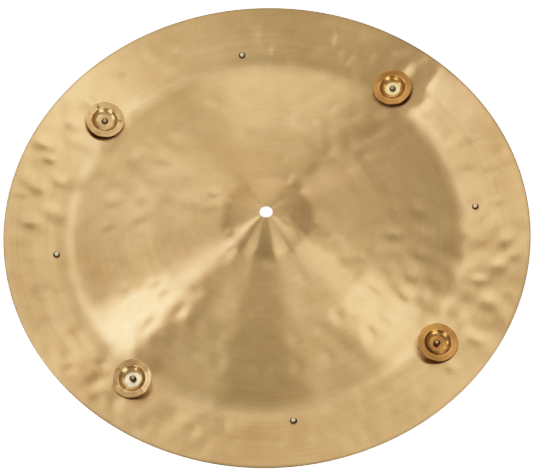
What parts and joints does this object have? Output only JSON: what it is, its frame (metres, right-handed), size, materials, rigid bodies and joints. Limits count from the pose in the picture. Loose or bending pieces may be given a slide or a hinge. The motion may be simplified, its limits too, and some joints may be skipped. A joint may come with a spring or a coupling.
{
  "type": "china cymbal",
  "caption": "Round bronze china cymbal with a domed bell, turned-up flange, loose sizzle rivets and riveted jingles that rock and rattle when it is struck.",
  "frame": {"origin": "on the axis of the centre hole, level with the underside of the bell at the hole, where a stand holds the cymbal", "axes": "+Z along the cymbal's axis, up through the bell; +X through the first sizzle rivet; the jingles lie midway between the axes"},
  "size_m": [0.508, 0.508, 0.0473],
  "materials": {
    "cymbal_bronze": "hand-hammered cast bronze, lathed in fine concentric grooves, satin",
    "rivet_nickel": "polished pale brass, lightly tarnished",
    "jingle_brass": "pressed and hammered yellow brass, bright",
    "jingle_bronze": "pressed phosphor bronze, warm orange, bright"
  },
  "bodies": {
    "cymbal": {"cymbal": "cymbal_bronze"},
    "sizzle_rivet_1": {"sizzle_rivet_1": "rivet_nickel"},
    "jingle_rivet_1": {"jingle_rivet_1": "rivet_nickel"},
    "jingle_1": {"jingle_1": "jingle_bronze"},
    "sizzle_rivet_2": {"sizzle_rivet_2": "rivet_nickel"},
    "jingle_rivet_2": {"jingle_rivet_2": "rivet_nickel"},
    "jingle_2": {"jingle_2": "jingle_brass"},
    "sizzle_rivet_3": {"sizzle_rivet_3": "rivet_nickel"},
    "jingle_rivet_3": {"jingle_rivet_3": "rivet_nickel"},
    "jingle_3": {"jingle_3": "jingle_brass"},
    "sizzle_rivet_4": {"sizzle_rivet_4": "rivet_nickel"},
    "jingle_rivet_4": {"jingle_rivet_4": "rivet_nickel"},
    "jingle_4": {"jingle_4": "jingle_bronze"}
  },
  "joints": [
    {"name": "sizzle_rivet_1_lift", "type": "slide", "parent": "cymbal", "child": "sizzle_rivet_1", "axis": [-0.1805, 0, 0.9836], "range_m": [0, 0.005]},
    {"name": "jingle_1_rock", "type": "hinge", "parent": "cymbal", "child": "jingle_1", "pos_m": [0.14933, 0.14933, -0.03314], "axis": [-0.7071, 0.7071, 0], "range_deg": [0, 20]},
    {"name": "jingle_rivet_1_lift", "type": "slide", "parent": "cymbal", "child": "jingle_rivet_1", "axis": [-0.1276, -0.1276, 0.9836], "range_m": [0, 0.0041]},
    {"name": "sizzle_rivet_2_lift", "type": "slide", "parent": "cymbal", "child": "sizzle_rivet_2", "axis": [0, -0.1805, 0.9836], "range_m": [0, 0.005]},
    {"name": "jingle_2_rock", "type": "hinge", "parent": "cymbal", "child": "jingle_2", "pos_m": [-0.14933, 0.14933, -0.03314], "axis": [-0.7071, -0.7071, 0], "range_deg": [0, 20]},
    {"name": "jingle_rivet_2_lift", "type": "slide", "parent": "cymbal", "child": "jingle_rivet_2", "axis": [0.1276, -0.1276, 0.9836], "range_m": [0, 0.0041]},
    {"name": "sizzle_rivet_3_lift", "type": "slide", "parent": "cymbal", "child": "sizzle_rivet_3", "axis": [0.1805, 0, 0.9836], "range_m": [0, 0.005]},
    {"name": "jingle_3_rock", "type": "hinge", "parent": "cymbal", "child": "jingle_3", "pos_m": [-0.14933, -0.14933, -0.03314], "axis": [0.7071, -0.7071, 0], "range_deg": [-20, 0]},
    {"name": "jingle_rivet_3_lift", "type": "slide", "parent": "cymbal", "child": "jingle_rivet_3", "axis": [0.1276, 0.1276, 0.9836], "range_m": [-0.0041, 0]},
    {"name": "sizzle_rivet_4_lift", "type": "slide", "parent": "cymbal", "child": "sizzle_rivet_4", "axis": [0, 0.1805, 0.9836], "range_m": [0, 0.005]},
    {"name": "jingle_4_rock", "type": "hinge", "parent": "cymbal", "child": "jingle_4", "pos_m": [0.14933, -0.14933, -0.03314], "axis": [0.7071, 0.7071, 0], "range_deg": [-20, 0]},
    {"name": "jingle_rivet_4_lift", "type": "slide", "parent": "cymbal", "child": "jingle_rivet_4", "axis": [-0.1276, 0.1276, 0.9836], "range_m": [-0.0041, 0]}
  ],
  "couplings": [
    {"joint": "jingle_rivet_1_lift", "follows": "jingle_1_rock", "m_per_rad": 0.011746},
    {"joint": "jingle_rivet_2_lift", "follows": "jingle_2_rock", "m_per_rad": 0.011746},
    {"joint": "jingle_rivet_3_lift", "follows": "jingle_3_rock", "m_per_rad": 0.011746},
    {"joint": "jingle_rivet_4_lift", "follows": "jingle_4_rock", "m_per_rad": 0.011746}
  ]
}
